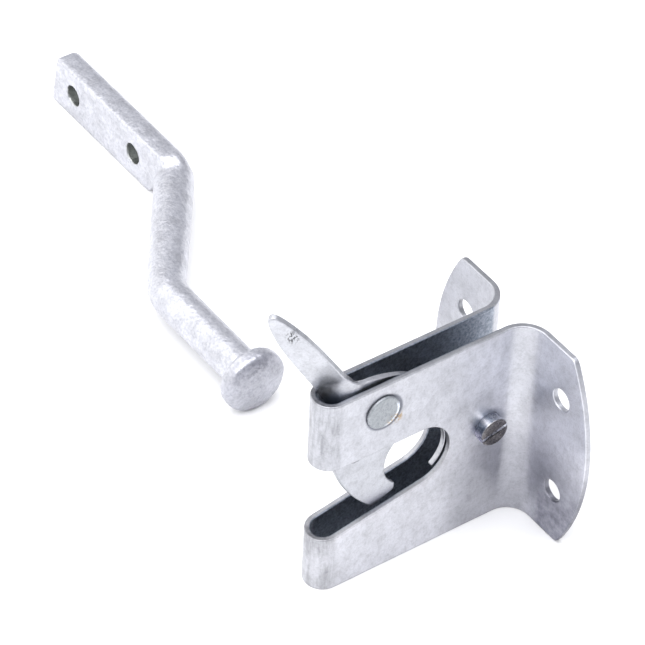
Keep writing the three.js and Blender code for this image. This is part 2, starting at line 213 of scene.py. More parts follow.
# Painted shade darkens the inside of the U; its outline is a line down the middle of the plates, rounded at
# the nose.
middle = add(tree, "ShaderNodeSeparateXYZ")
tree.links.new(offset_from(tree, (0, nose_centre, 0), (1, 1, 1)), middle.inputs["Vector"])
ahead = add(tree, "ShaderNodeMath", operation="MINIMUM")
ahead.inputs[1].default_value = 0
tree.links.new(middle.outputs["Y"], ahead.inputs[0])
across = add(tree, "ShaderNodeCombineXYZ")
tree.links.new(middle.outputs["X"], across.inputs["X"])
tree.links.new(ahead.outputs["Value"], across.inputs["Y"])
depth = add(tree, "ShaderNodeVectorMath", operation="LENGTH")
tree.links.new(across.outputs["Vector"], depth.inputs[0])
hollow = band(tree, depth.outputs["Value"], 4.95, 4.45)
hollow_shade = ramp(tree, grain(tree, 1000, 5, 0.75), [(0.38, (0.34, 0.39, 0.44)), (0.62, (0.72, 0.77, 0.84))])
tone = blend(tree, "MULTIPLY", hollow, tone, hollow_shade)
# Painted light brightens the near flange, and painted shade, in blotches, darkens it towards its foot.
foot = both(tree, beyond(tree, "X", 11, 20), beyond(tree, "Z", 44, 8))
foot_shade = ramp(tree, grain(tree, 260, 4, 0.6), [(0.35, (0.36, 0.36, 0.40)), (0.6, (0.58, 0.58, 0.62))])
tone = blend(tree, "MULTIPLY", foot, tone, foot_shade)
tone = blend(tree, "MULTIPLY", beyond(tree, "X", 6.5, 9.0), tone, (0.98, 0.98, 0.98))
tone = blend(tree, "MULTIPLY", beyond(tree, "X", 9, 15), tone, (1.34, 1.34, 1.35))
# Painted shade darkens the upper half a little, and the heel below the screw more.
tone = blend(tree, "MULTIPLY", beyond(tree, "Z", 34, 56), tone, (0.90, 0.905, 0.91))
heel_shade = both(tree, beyond(tree, "Y", -36, -20), beyond(tree, "Z", 40, 24))
tone = blend(tree, "MULTIPLY", heel_shade, tone, (0.70, 0.70, 0.715))
# Fine streaks run down the nose, and painted shade darkens the whole nose with them.
nose_streaks_and_shade = ramp(tree, grain(tree, 520, 4, 0.65, (1, 1, 0.16)), [(0.36, 0.60), (0.56, 0.86)])
tone = blend(tree, "MULTIPLY", beyond(tree, "Y", -69, -73), tone, nose_streaks_and_shade)
# A painted shadow runs round the rivet's head, with a little rust beside it, and painted shade arcs over the
# top of the screw.
rivet_shadow = both(tree, near(tree, (6, -55.2, 65.3), (0.5, 1, 1), 6.2, 7.1), beyond(tree, "X", 5.0, 6.0))
tone = blend(tree, "MULTIPLY", rivet_shadow, tone, (0.36, 0.37, 0.40))
rust = ramp(tree, grain(tree, 1100, 3, 0.7), [(0.48, (1.0, 1.0, 1.0)), (0.56, (0.75, 0.52, 0.26))])
tone = blend(tree, "MULTIPLY", near(tree, (6, -50.6, 61.2), (1, 1, 1), 1.0, 3.2), tone, rust)
screw_arc_shade = both(tree, near(tree, (6, *pivot), (0.5, 1, 1), 5.2, 7.6), beyond(tree, "Z", 36, 41))
tone = blend(tree, "MULTIPLY", screw_arc_shade, tone, (0.62, 0.64, 0.68))
tree.links.new(tone, shader.inputs["Base Color"])
satin = ramp(tree, grain(tree, 600, 3, 0.6), [(0.3, 0.32), (0.7, 0.44)])
tree.links.new(satin, shader.inputs["Roughness"])
relief(tree, shader, [(grain(tree, 110, 2, 0.5), 0.00022), (grain(tree, 1100, 3, 0.6), 0.00003)])

# The flat blank is drawn along the strip from the middle of the nose, and up from its lower edge.
sheet_thickness = 2.0
nose_radius = 5.2
flange_bend_radius = 8.85
flange_bend_x = 14.05
flange_bend_y = -9.85
blank_height = 76.0
body_depth = 77.0
nose_half = nose_radius * math.pi / 2
plate_end = nose_half + flange_bend_y - nose_centre
bend_end = plate_end + flange_bend_radius * math.pi / 2


def arc(u, v, radius, start, end, step=0.7):
    """Points along an arc, its ends included. Angles are in radians."""
    count = max(3, int(abs(end - start) * radius / step) + 1)
    return [(u + radius * math.cos(a), v + radius * math.sin(a)) for a in np.linspace(start, end, count)]


def ring_of(u, v, radius, count=40):
    return [(u + radius * math.cos(a), v + radius * math.sin(a))
            for a in np.linspace(0, 2 * math.pi, count, endpoint=False)]


def eased(points, corners, step=0.7):
    """Fills a closed outline with points no further than a step apart, rounding the listed corners."""
    path = []
    count = len(points)
    for i in range(count):
        here = np.array(points[i], float)
        radius = corners.get(i, 0)
        if radius:
            before, after = np.array(points[i - 1], float), np.array(points[(i + 1) % count], float)
            a, b = before - here, after - here
            a, b = a / np.linalg.norm(a), b / np.linalg.norm(b)
            half = math.acos(float(np.clip(a @ b, -1, 1))) / 2
            reach = radius / math.tan(half)
            centre = here + (a + b) / np.linalg.norm(a + b) * radius / math.sin(half)
            start, end = here + a * reach - centre, here + b * reach - centre
            sweep = math.pi - 2 * half
            steps = max(4, int(radius * sweep / 0.4))
            for k in range(steps + 1):
                t = k / steps
                mix = start * math.sin((1 - t) * sweep) + end * math.sin(t * sweep)
                path.append(centre + mix / math.sin(sweep))
        else:
            path.append(here)
    filled = []
    for i, here in enumerate(path):
        after = path[(i + 1) % len(path)]
        gap = np.linalg.norm(after - here)
        if gap < 0.02:
            continue
        steps = max(1, int(math.ceil(gap / step)))
        filled += [here + (after - here) * k / steps for k in range(steps)]
    return np.array(filled)


def inside(points, loop):
    """Which of the points lie inside a closed loop."""
    result = np.zeros(len(points), bool)
    x, y = points[:, 0], points[:, 1]
    for a, b in zip(loop, np.roll(loop, -1, axis=0)):
        crosses = (a[1] > y) != (b[1] > y)
        with np.errstate(divide="ignore", invalid="ignore"):
            at = (b[0] - a[0]) * (y - a[1]) / (b[1] - a[1]) + a[0]
        result ^= crosses & (x < at)
    return result


def pressed(name, outline, holes, spots, bend, edge=0.45, rounds=4):
    """A sheet piece: a flat outline with holes, given thickness and rolled edges, then bent.
    `bend` takes flat points and gives their places on the middle surface and the surface's normals."""
    def area(loop):
        after = np.roll(loop, -1, axis=0)
        return np.sum(loop[:, 0] * after[:, 1] - after[:, 0] * loop[:, 1]) / 2

    loops = [outline if area(outline) > 0 else outline[::-1]]
    loops += [hole if area(hole) < 0 else hole[::-1] for hole in holes]
    outs = []
    for loop in loops:
        ahead = np.roll(loop, -1, axis=0) - loop
        ahead /= np.linalg.norm(ahead, axis=1)[:, None]
        behind = np.roll(ahead, 1, axis=0)
        out = np.stack([ahead[:, 1] + behind[:, 1], -ahead[:, 0] - behind[:, 0]], axis=1)
        length = np.linalg.norm(out, axis=1)[:, None]
        outs.append((out / length, 1 / np.clip(length / 2, 0.7, 1)))
    flat = np.concatenate(loops)
    out = np.concatenate([o[0] for o in outs])
    miter = np.concatenate([o[1] for o in outs])
    half = sheet_thickness / 2

    keep = inside(spots, loops[0])
    for hole in loops[1:]:
        keep &= ~inside(spots, hole)
    spots = spots[keep]
    gap = np.full(len(spots), np.inf)
    for start in range(0, len(flat), 200):
        part = flat[start:start + 200]
        gap = np.minimum(gap, np.linalg.norm(spots[:, None] - part[None], axis=2).min(axis=1))
    spots = spots[gap > edge + 0.35]

    face = np.concatenate([flat - out * miter * edge, spots])
    sides = []
    base = 0
    for loop in loops:
        sides += [(base + i, base + (i + 1) % len(loop)) for i in range(len(loop))]
        base += len(loop)
    result = delaunay_2d_cdt([Vector(p) for p in face], sides, [], 1, 1e-6)
    origin = [source[0] for source in result[3]]
    corners = np.array([[origin[i] for i in tri] for tri in result[2]])
    middle = face[corners].mean(axis=1)
    keep = np.ones(len(corners), bool)
    for hole, (o, m) in zip(loops[1:], outs[1:]):
        keep &= ~inside(middle, hole - o * m * edge)
    corners = corners[keep]

    def place(uv, height, lean_out=0.0, lean_up=1.0, outward=None):
        wave = np.array([noise.noise(Vector((u * 0.05, v * 0.05, 3.1))) for u, v in uv]) * 0.10
        aside = np.abs(uv[:, 0])
        wave *= np.clip((aside - 4) / 8, 0, 1) * np.clip((80 - aside) / 12, 0, 1)
        surface, normal = bend(uv)
        if outward is not None:
            ahead = (bend(uv + outward * 0.01)[0] - bend(uv - outward * 0.01)[0]) / 0.02
            ahead /= np.linalg.norm(ahead, axis=1)[:, None]
            facing = lean_out * ahead + lean_up * normal
        else:
            facing = lean_up * normal
        return surface + normal * (height + wave)[:, None], facing

    points, normals, faces, rim = [], [], [], []
    total = 0
    rings = []
    profile = []
    for k in range(rounds + 1):
        a = k / rounds * math.pi / 2
        profile.append((edge * (1 - math.sin(a)), half - edge * (1 - math.cos(a)), math.sin(a), math.cos(a)))
    profile += [(d, -h, s, -c) for d, h, s, c in reversed(profile)]
    for inset, height, lean_out, lean_up in profile:
        uv = flat - out * miter * inset
        p, n = place(uv, np.full(len(uv), height), lean_out, lean_up, out)
        points.append(p)
        normals.append(n)
        rim.append(np.full(len(uv), lean_out))
        rings.append(total)
        total += len(uv)
    inner = []
    for height in (half, -half):
        p, n = place(spots, np.full(len(spots), height), 0, 1 if height > 0 else -1)
        points.append(p)
        normals.append(n)
        rim.append(np.zeros(len(spots)))
        inner.append(total)
        total += len(spots)
    count = len(flat)
    for tri in corners:
        top = [i + rings[0] if i < count else i - count + inner[0] for i in tri]
        low = [i + rings[-1] if i < count else i - count + inner[1] for i in tri]
        faces += [top, low[::-1]]
    for upper, lower in zip(rings, rings[1:]):
        faces += [(a + upper, a + lower, b + lower, b + upper) for a, b in sides]

    mesh = bpy.data.meshes.new(name)
    mesh.from_pydata((np.concatenate(points) * 0.001 + np.array(latch)).tolist(), [], faces)
    mesh.shade_smooth()
    facing = np.concatenate(normals)
    facing /= np.linalg.norm(facing, axis=1)[:, None]
    mesh.normals_split_custom_set_from_vertices(facing.tolist())
    mesh.attributes.new("rim", "FLOAT", "POINT").data.foreach_set("value", np.concatenate(rim))
    piece = bpy.data.objects.new(name, mesh)
    bpy.context.scene.collection.objects.link(piece)
    return piece


def bend_strip(flat):
    """Wraps the blank: round the nose, back along a plate, round the flange bend and out."""
    sign = np.where(flat[:, 0] < 0, -1.0, 1.0)
    along = np.abs(flat[:, 0])
    on_nose = np.clip(along, 0, nose_half) / nose_radius
    on_plate = np.clip(along, nose_half, plate_end) - nose_half
    on_bend = (np.clip(along, plate_end, bend_end) - plate_end) / flange_bend_radius
    on_flange = np.clip(along - bend_end, 0, None)
    x = nose_radius * np.sin(on_nose) + flange_bend_radius * (1 - np.cos(on_bend)) + on_flange
    y = nose_centre - nose_radius * np.cos(on_nose) + on_plate + flange_bend_radius * np.sin(on_bend)
    heading = on_nose - on_bend
    surface = np.stack([sign * x, y, flat[:, 1]], axis=1)
    return surface, np.stack([sign * np.sin(heading), -np.cos(heading), np.zeros(len(x))], axis=1)


mouth_top = 50.0
mouth_sill = 20.5
pocket_radius = 11.25
pocket_y = -40.5
pocket_z = mouth_top - pocket_radius
pocket_s = nose_half + pocket_y - nose_centre
run, rise = pocket_y + body_depth, pocket_z - mouth_sill
sill_slope = math.atan2(rise, run) - math.asin(pocket_radius / math.hypot(run, rise))


def sill_height(s):
    """The sill's height at a distance along the strip. It climbs evenly towards the pocket."""
    on_nose = min(abs(s), nose_half)
    y = nose_centre - nose_radius * math.cos(on_nose / nose_radius) + max(abs(s) - nose_half, 0)
    return mouth_sill + (y + body_depth) * math.tan(sill_slope)


mouth = arc(pocket_s, pocket_z, pocket_radius, math.pi / 2, sill_slope - math.pi / 2)
sill_end = mouth[-1][0]
mouth += [(s, sill_height(s)) for s in np.linspace(sill_end, -sill_end, 120)[1:-1]]
mouth += [(-s, z) for s, z in reversed(arc(pocket_s, pocket_z, pocket_radius, math.pi / 2,
                                           sill_slope - math.pi / 2))]

# Each flange's free edge is a shallow arc, widest at half its height.
flange_reach = 38.0
flange_crown = 10.0
half_height = blank_height / 2
side_radius = (half_height ** 2 + flange_crown ** 2) / (2 * flange_crown)
side = [(bend_end + flange_reach - side_radius + math.sqrt(side_radius ** 2 - (z - half_height) ** 2)
         - flange_bend_x, z) for z in np.linspace(0, blank_height, 40)]
strip = [(-s, z) for s, z in reversed(side)] + side
pin_hole = 3.2
screw_hole = 3.75
screw_hole_x = 24.0
rivet_hole = (-56.0, 66.0)
pivot_inset = flange_bend_y - pivot[0]
holes = [eased(mouth, {})]
for s in (-1, 1):
    for z in (19.0, 57.0):
        holes.append(eased(ring_of(s * (bend_end + screw_hole_x - flange_bend_x), z, screw_hole), {}))
    holes.append(eased(ring_of(s * (plate_end - pivot_inset), pivot[1], pin_hole), {}))
    holes.append(eased(ring_of(s * (nose_half + rivet_hole[0] - nose_centre), rivet_hole[1], pin_hole), {}))

columns = np.concatenate([
    np.arange(0.35, nose_half, 0.62), np.arange(nose_half + 0.5, plate_end, 1.7),
    np.arange(plate_end + 0.3, bend_end, 1.0), np.arange(bend_end + 0.4, bend_end + 24, 1.6)])
columns = np.concatenate([-columns[::-1], columns])
grid = np.array([(s, z) for s in columns for z in np.arange(1.2, blank_height, 1.7)])
rounded = {i: 3.0 for i in (0, 39, 40, 79)}
body = pressed("body_strip", eased(strip, rounded), holes, grid, bend_strip)
body.data.materials.append(sheet_finish)
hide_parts("latch_body")
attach(body, "latch")

# ---------------------------------------------------------------- tongue
# A 2 mm plate that drops by its own weight: its notch holds the bar, and its front arm is pushed up by it.
# The thumb leaf is part of the same blank, twisted to face forward and bent to the far side.
tongue_finish, tree, shader = metal("galvanised_tongue", (0.66, 0.67, 0.71), 0.38)
tone = zinc_coat_and_edge_shade(tree, (0.58, 0.59, 0.63), 0.86)
scratch = ramp(tree, grain(tree, 1700, 2, 0.6, (1, 1, 0.4)), [(0.46, 0.20), (0.54, 1.0)])
tone = blend(tree, "MULTIPLY", near(tree, (-4.4, -82.4, 101.2), (1, 1, 0.6), 1.0, 2.6), tone, scratch)
# Painted shade darkens the curl at the leaf's root, and the lowest part of the plate, down between the jaws.
curl_shade = near(tree, (1.5, -71.5, 73.5), (1, 1, 1), 1.5, 4.8)
tone = blend(tree, "MULTIPLY", curl_shade, tone, (0.34, 0.38, 0.45))
tone = blend(tree, "MULTIPLY", beyond(tree, "Z", 32, 24), tone, (0.66, 0.66, 0.70))
tree.links.new(tone, shader.inputs["Base Color"])
tree.links.new(ramp(tree, grain(tree, 600, 3, 0.6), [(0.3, 0.28), (0.7, 0.42)]), shader.inputs["Roughness"])
relief(tree, shader, [(grain(tree, 140, 2, 0.5), 0.00025), (grain(tree, 1100, 3, 0.6), 0.00003)])

plate_x = 2.45
arm_foot = (-57.4, 23.7)
arm = math.atan2(pivot[1] - arm_foot[1], pivot[0] - arm_foot[0])
front = -72.595
cam_y, cam_z, cam_radius = -23.0, 62.0, 50.0
hump_y, hump_z, hump_radius = -63.6, 38.0, 40.0
boss_radius = 10.5
throat = 7.0
root = np.array((-66.2, 71.5))
root_along = np.array((-0.459, 0.888))
root_across = np.array((-0.888, -0.459))
leaf_knee = np.array((-1.0, -71.0, 80.7))
leaf_along = np.array((-0.207, -0.504, 0.8385))
leaf_length = 44.7
leaf_turn = math.radians(42)

# Middle line of the leaf: a short bend out of the plate, then straight to the tip.
first = np.array((plate_x, *root))
pull = [first, first + 4.5 * np.array((0, *root_along)), leaf_knee - 4.5 * leaf_along, leaf_knee]
line = [sum(w * p for w, p in zip(((1 - t) ** 3, 3 * t * (1 - t) ** 2, 3 * t * t * (1 - t), t ** 3), pull))
        for t in np.linspace(0, 1, 30)]
line += [leaf_knee + leaf_along * d for d in np.arange(0.5, 40, 0.5)]
line = np.array(line)
gone = np.concatenate([[0], np.cumsum(np.linalg.norm(np.diff(line, axis=0), axis=1))])


def bend_tongue(flat):
    """Leaves the plate flat and carries the leaf along its middle line, turning it as it rises."""
    away = flat - root
    along = away @ root_along
    across = away @ root_across
    on = np.clip(along - 1.2 * np.clip(-across - 5.2, 0, None), 0, None)
    rest = along - on
    spine = np.stack([np.interp(on, gone, line[:, k]) for k in range(3)], axis=1)
    ahead = np.stack([np.interp(on + 0.2, gone, line[:, k]) for k in range(3)], axis=1) - spine
    ahead[on <= 0] = (0, *root_along)
    ahead /= np.linalg.norm(ahead, axis=1)[:, None]
    level = np.cross(np.array((1.0, 0, 0)), ahead)
    level /= np.linalg.norm(level, axis=1)[:, None]
    t = np.clip((on - 1.0) / 11.0, 0, 1)
    turned = -leaf_turn * t * t * (3 - 2 * t)
    out = np.cross(ahead, level)
    width = level * np.cos(turned)[:, None] + out * np.sin(turned)[:, None]
    face = np.cross(ahead, width)
    return spine + width * across[:, None] + ahead * rest[:, None], face


def leaf_half(distance):
    """Half the leaf's width, by the distance from its tip."""
    known = [(0, 0), (0.3, 0.9), (1, 1.5), (2.8, 2.35), (5.5, 3.15), (8.8, 3.9), (13, 4.65),
             (18.8, 5.15), (26.5, 5.4), (33.7, 5.5), (40, 5.3), (45, 5.0)]
    return np.interp(math.sqrt(max(distance, 0)), [math.sqrt(d) for d, _ in known], [w for _, w in known])


cam_top = math.pi + math.acos((cam_y - front) / cam_radius)
offset = (pivot[1] - cam_z) * math.cos(arm) - (pivot[0] - cam_y) * math.sin(arm)
cam_end = math.pi * 1.5 + arm - math.acos(-offset / cam_radius)
notch = math.asin(throat / pocket_radius)
reach = math.hypot(pivot[0] - hump_y, pivot[1] - hump_z)
tangent = math.atan2(pivot[1] - hump_z, pivot[0] - hump_y) + math.acos((hump_radius - boss_radius) / reach)
outline = arc(cam_y, cam_z, cam_radius, cam_top, cam_end)
del outline[-5:-1]
arm_corner = len(outline) - 1
outline.append((pocket_y - throat, pivot[1] + (pocket_y - throat - pivot[0]) * math.tan(arm)))
throat_front = len(outline) - 1
outline += arc(pocket_y, pocket_z, pocket_radius, math.pi * 1.5 - notch, -math.pi / 2 + notch)
outline.append((pocket_y + throat, pivot[1] - boss_radius))
throat_back = len(outline) - 1
outline += arc(pivot[0], pivot[1], boss_radius, -math.pi / 2, tangent, 0.8)
outline += arc(hump_y, hump_z, hump_radius, tangent, math.radians(83), 0.8)[1:]
leaf_corner = len(outline)
outline.append((-63.65, 78.0))
for d in np.linspace(9, leaf_length - 0.6, 50):
    outline.append(tuple(root + root_along * d - root_across * leaf_half(leaf_length - d)))
for a in np.linspace(0.35, 0, 3, endpoint=False):
    outline.append(tuple(root + root_along * (leaf_length - a * a) - root_across * leaf_half(a * a)))
outline.append(tuple(root + root_along * leaf_length))
for a in np.linspace(0, 0.35, 4)[1:]:
    outline.append(tuple(root + root_along * (leaf_length - a * a) + root_across * leaf_half(a * a)))
for d in np.linspace(leaf_length - 0.6, 4.5, 50):
    outline.append(tuple(root + root_along * d + root_across * leaf_half(leaf_length - d)))
outline.append((front, 72.0))

# The rivet's slot is as long as the tongue's travel, with a little play at each end.
travel = math.radians(20)
slot_play = 0.3
slot_radius = math.hypot(rivet_hole[0] - pivot[0], rivet_hole[1] - pivot[1])
slot_start = math.atan2(rivet_hole[1] - pivot[1], rivet_hole[0] - pivot[0]) - slot_play / slot_radius
slot_end = slot_start + travel + 2 * slot_play / slot_radius
slot_loop = arc(*pivot, slot_radius + pin_hole, slot_start, slot_end)
for at, start in ((slot_end, slot_end), (slot_start, slot_start + math.pi)):
    centre = pivot + slot_radius * np.array((math.cos(at), math.sin(at)))
    slot_loop += arc(*centre, pin_hole, start, start + math.pi, 0.5)[1:-1]
    if at == slot_end:
        slot_loop += arc(*pivot, slot_radius - pin_hole, slot_end, slot_start)

grid = np.array([(y, z) for y in np.arange(-90, 0, 1.1) for z in np.arange(22, 115, 1.1)])
rounded = {arm_corner: 1.6, throat_front: 1.8, throat_back: 1.2, leaf_corner: 4.0}
holes = [eased(slot_loop, {}), eased(ring_of(*pivot, pin_hole), {})]
tongue = pressed("tongue_plate", eased(outline, rounded), holes, grid, bend_tongue)
tongue.data.materials.append(tongue_finish)
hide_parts("latch_tongue")
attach(tongue, "tongue")

# ---------------------------------------------------------------- pivot screw
# M6 cheese-head steel screw, bright zinc plated, put in from the near side; the tongue swings on its shank.
# Its slot was cut by a saw and stands a little off level, and its thread shows past the nut on the far side.
zinc_finish, tree, shader = metal("bright_zinc", (0.45, 0.45, 0.46), 0.25)
tarnish = ramp(tree, grain(tree, 420, 4, 0.6), [(0.36, (0.34, 0.36, 0.42)), (0.52, (0.84, 0.84, 0.87))])
pits = ramp(tree, grain(tree, 2200, 3, 0.7), [(0.30, 0.4), (0.42, 1.0)])
tone = blend(tree, "MULTIPLY", 0.6, tarnish, pits)
# Painted reflections: light and dark bands run across the side of the head.
around = add(tree, "ShaderNodeVectorMath", operation="DOT_PRODUCT")
around.inputs[1].default_value = (0, 0.7, 0.7)
tree.links.new(offset_from(tree, (0, *pivot), (1, 1, 1)), around.inputs[0])
reflection_sweep = band(tree, around.outputs["Value"], -5, 5)
reflection_bands = ramp(tree, reflection_sweep, [(0.0, (0.60, 0.58, 0.70)), (0.22, (0.16, 0.18, 0.22)), (0.50, (0.34, 0.38, 0.44)),
                           (0.70, (1.0, 1.0, 1.0)), (0.84, (0.36, 0.40, 0.46)), (1.0, (0.75, 0.77, 0.80))])
flank = both(tree, beyond(tree, "X", 6.2, 6.5), beyond(tree, "X", 9.9, 9.5))
flank = both(tree, flank, near(tree, (0, *pivot), (0, 1, 1), 4.8, 4.5))
tone = blend(tree, "MULTIPLY", flank, tone, reflection_bands)
sawn = ramp(tree, grain(tree, 1500, 3, 0.7), [(0.3, (0.08, 0.075, 0.08)), (0.7, (0.18, 0.17, 0.175))])
tone = blend(tree, "MIX", beyond(tree, "X", 9.3, 9.9), tone, sawn)
tree.links.new(tone, shader.inputs["Base Color"])
wear = ramp(tree, grain(tree, 900, 3, 0.6), [(0.3, 0.18), (0.7, 0.36)])
tree.links.new(wear, shader.inputs["Roughness"])
relief(tree, shader, [(grain(tree, 1400, 3, 0.6), 0.00003)])


def wall(here, after, steps):
    """Faces between two rings of points, each known by its first point."""
    return [(here + j, here + (j + 1) % steps, after + (j + 1) % steps, after + j) for j in range(steps)]


def turned(name, centre, profile, steps=64, closed=False, cut=None):
    """A piece turned round a line along X. The profile lists (x, radius) in millimetres.
    `cut` changes a radius by its x and angle, as a thread or a hexagon does."""
    angles = np.linspace(0, 2 * math.pi, steps, endpoint=False)
    points = []
    for x, radius in profile:
        for a in angles:
            r = cut(x, radius, a) if cut else radius
            points.append((x, centre[0] + r * math.cos(a), centre[1] + r * math.sin(a)))
    faces = []
    for i in range(len(profile) - (0 if closed else 1)):
        faces += wall(i * steps, (i + 1) % len(profile) * steps, steps)
    mesh = bpy.data.meshes.new(name)
    mesh.from_pydata((np.array(points) * 0.001 + np.array(latch)).tolist(), [], faces)
    work = bmesh.new()
    work.from_mesh(mesh)
    bmesh.ops.remove_doubles(work, verts=work.verts, dist=1e-6)
    bmesh.ops.recalc_face_normals(work, faces=work.faces)
    work.to_mesh(mesh)
    work.free()
    mesh.shade_smooth()
    mesh.set_sharp_from_angle(angle=math.radians(35))
    piece = bpy.data.objects.new(name, mesh)
    bpy.context.scene.collection.objects.link(piece)
    return piece


def baked(piece):
    """Applies the modifiers that a piece carries."""
    bpy.context.view_layer.update()
    mesh = bpy.data.meshes.new_from_object(piece.evaluated_get(bpy.context.evaluated_depsgraph_get()))
    piece.modifiers.clear()
    piece.data = mesh
    return piece


def rounding(x, radius, size, start, end, steps=4):
    """Profile points round a corner of a turned piece."""
    return [(x + size * math.sin(a), radius + size * math.cos(a)) for a in np.linspace(start, end, steps + 1)]


screw_tip, screw_seat, screw_top = -13.8, 6.2, 10.1
thread_end = -3.5
shank_radius = 2.95
tip_radius = 2.35
thread_slope = 0.9


def thread(x, radius, angle):
    """The shank's radius along a thread of 1 mm pitch, which fades in at the tip."""
    if x > thread_end or radius < tip_radius:
        return radius
    turn = (x - angle / (2 * math.pi)) % 1.0
    crest = shank_radius - thread_slope * abs(turn - 0.5)
    return min(crest, tip_radius + (x - screw_tip) * thread_slope)


shank = [(screw_tip, 0), (screw_tip, tip_radius)]
shank += [(x, shank_radius) for x in np.arange(screw_tip + 0.1, thread_end, 0.1)]
shank += [(thread_end + 0.05, shank_radius), (screw_seat, shank_radius)]
head_swell = 0.1
head = rounding(screw_seat + 0.3, 4.6, 0.3, -math.pi / 2, 0, 3)
head += rounding(screw_top - 0.75, 4.1, 0.75, 0, math.pi / 2, 6)
head = [(x, r + head_swell) for x, r in head] + [(screw_top, 2.5), (screw_top, 0)]
screw = turned("pivot_screw_turned", pivot, shank + head, 72, cut=thread)

slot_mesh = bpy.data.meshes.new("saw")
slot_depth, slot_half = 2, 0.8
slot_outline = ((-7, -slot_half), (7, -slot_half), (7, slot_half), (-7, slot_half))
corners = [(x, u, v) for x in (screw_top - slot_depth, screw_top + 1) for u, v in slot_outline]
tilt = Matrix.Rotation(0.27, 3, "X")
slot_mesh.from_pydata([(tilt @ Vector(c) + Vector((0, *pivot))) * 0.001 + latch for c in corners], [],
                      [(0, 3, 2, 1), (4, 5, 6, 7), (0, 1, 5, 4), (1, 2, 6, 5), (2, 3, 7, 6), (3, 0, 4, 7)])
saw = bpy.data.objects.new("saw", slot_mesh)
bpy.context.scene.collection.objects.link(saw)
slotting = screw.modifiers.new("slot", "BOOLEAN")
slotting.operation, slotting.object, slotting.solver = "DIFFERENCE", saw, "EXACT"
easing = screw.modifiers.new("burr", "BEVEL")
easing.width, easing.segments, easing.limit_method, easing.angle_limit = 0.00012, 2, "ANGLE", math.radians(50)
baked(screw)
bpy.data.objects.remove(saw)
screw.data.shade_smooth()
screw.data.set_sharp_from_angle(angle=math.radians(35))
screw.data.materials.append(zinc_finish)
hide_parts("pivot_screw")
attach(screw, "latch")

# ---------------------------------------------------------------- nut, washer and spacer
# A hexagon nut holds the screw against the far plate, with both its faces chamfered.
# Inside the U, a thin washer and a tube keep the tongue in its lane.
nut_low, nut_high = -11.2, -6.2
nut_bore, nut_rim = 3.0, 5.5
half_across_flats, half_across_corners = 5.0, 5.68


def hexagon(x, radius, angle):
    """The nut's six chamfered flats on its rim, and the thread in its bore."""
    if radius == nut_bore:
        return 2.9 - thread_slope * abs((x - angle / (2 * math.pi)) % 1.0 - 0.5)
    if radius != nut_rim:
        return radius
    flat = (angle + math.pi / 6) % (math.pi / 3) - math.pi / 6
    side = min(half_across_flats / math.cos(flat), half_across_corners)
    return min(side, 4.7 + 1.75 * (min(x - nut_low, nut_high - x)))


bore = [(x, nut_bore) for x in np.arange(nut_high - 0.5, nut_low + 0.4, -0.1)]
rows = [nut_low + d for d in (0.0, 0.1, 0.2, 0.3, 0.4, 0.5, 0.62)]
flank = [(x, nut_rim) for x in rows] + [(nut_low + nut_high - x, nut_rim) for x in reversed(rows)]
nut_profile = [(nut_low, 3.4), (nut_low, 4.6)] + flank + [(nut_high, 4.6), (nut_high, 3.4)] + bore
nut = turned("pivot_nut_hex", pivot, nut_profile, 96, closed=True, cut=hexagon)
nut.data.materials.append(zinc_finish)
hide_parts("pivot_nut")
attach(nut, "latch")

soft = 0.2
bore_radius, bore_mouth = 3.2, 3.3
for name, node, low, high, outer in (("pivot_washer_round", "pivot_washer", 3.6, 4.2, 6.0),
                                     ("pivot_spacer_tube", "pivot_spacer", -4.2, 1.3, 5.0)):
    loop = rounding(low + soft, outer - soft, soft, -math.pi / 2, 0)
    loop += rounding(high - soft, outer - soft, soft, 0, math.pi / 2)
    loop += [(high, bore_mouth), (high - 0.1, bore_radius), (low + 0.1, bore_radius), (low, bore_mouth)]
    collar = turned(name, pivot, loop, 64, closed=True)
    collar.data.materials.append(zinc_finish)
    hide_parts(node)
    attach(collar, "latch")

# ---------------------------------------------------------------- guide rivet
# A flat-headed steel rivet through both plates. It is peened over on the far side before the latch is dipped.
# It stands in the tongue's slot, and traces of rust have started in the seam round its head.
rivet_at = (-56.0, 66.2)
rivet_finish, tree, shader = metal("rivet_zinc", (0.45, 0.47, 0.49), 0.5)
dull = ramp(tree, grain(tree, 900, 4, 0.65), [(0.3, (0.27, 0.29, 0.31)), (0.65, (0.43, 0.45, 0.475))])
dirt = ramp(tree, grain(tree, 1700, 3, 0.7), [(0.30, 0.3), (0.42, 1.0)])
tone = blend(tree, "MULTIPLY", 0.6, dull, dirt)
rust = ramp(tree, grain(tree, 900, 3, 0.7), [(0.50, (1.0, 1.0, 1.0)), (0.58, (0.62, 0.42, 0.20))])
tone = blend(tree, "MULTIPLY", near(tree, (6.5, -52.4, 61.6), (1, 1, 1), 1.5, 3.6), tone, rust)
# A painted highlight lightens the lower part of the head's rim, and painted shade darkens the underside of
# the rim.
highlight_ring = near(tree, (0, *rivet_at), (0, 1, 1), 4.9, 4.4)
lower = both(tree, beyond(tree, "Y", -56.5, -54.0), beyond(tree, "Z", 69.0, 67.0))
tone = blend(tree, "MULTIPLY", both(tree, highlight_ring, lower), tone, (2.2, 2.2, 2.25))
tone = blend(tree, "MULTIPLY", beyond(tree, "X", 6.7, 6.3), tone, (0.25, 0.25, 0.27))
tree.links.new(tone, shader.inputs["Base Color"])
tree.links.new(ramp(tree, grain(tree, 900, 3, 0.6), [(0.3, 0.40), (0.7, 0.58)]), shader.inputs["Roughness"])
relief(tree, shader, [(grain(tree, 1200, 3, 0.6), 0.00005)])
profile = [(-7.8, 0), (-7.78, 1.2), (-7.65, 2.4), (-7.4, 3.4), (-7.0, 4.1), (-6.6, 4.45), (-6.2, 4.4)]
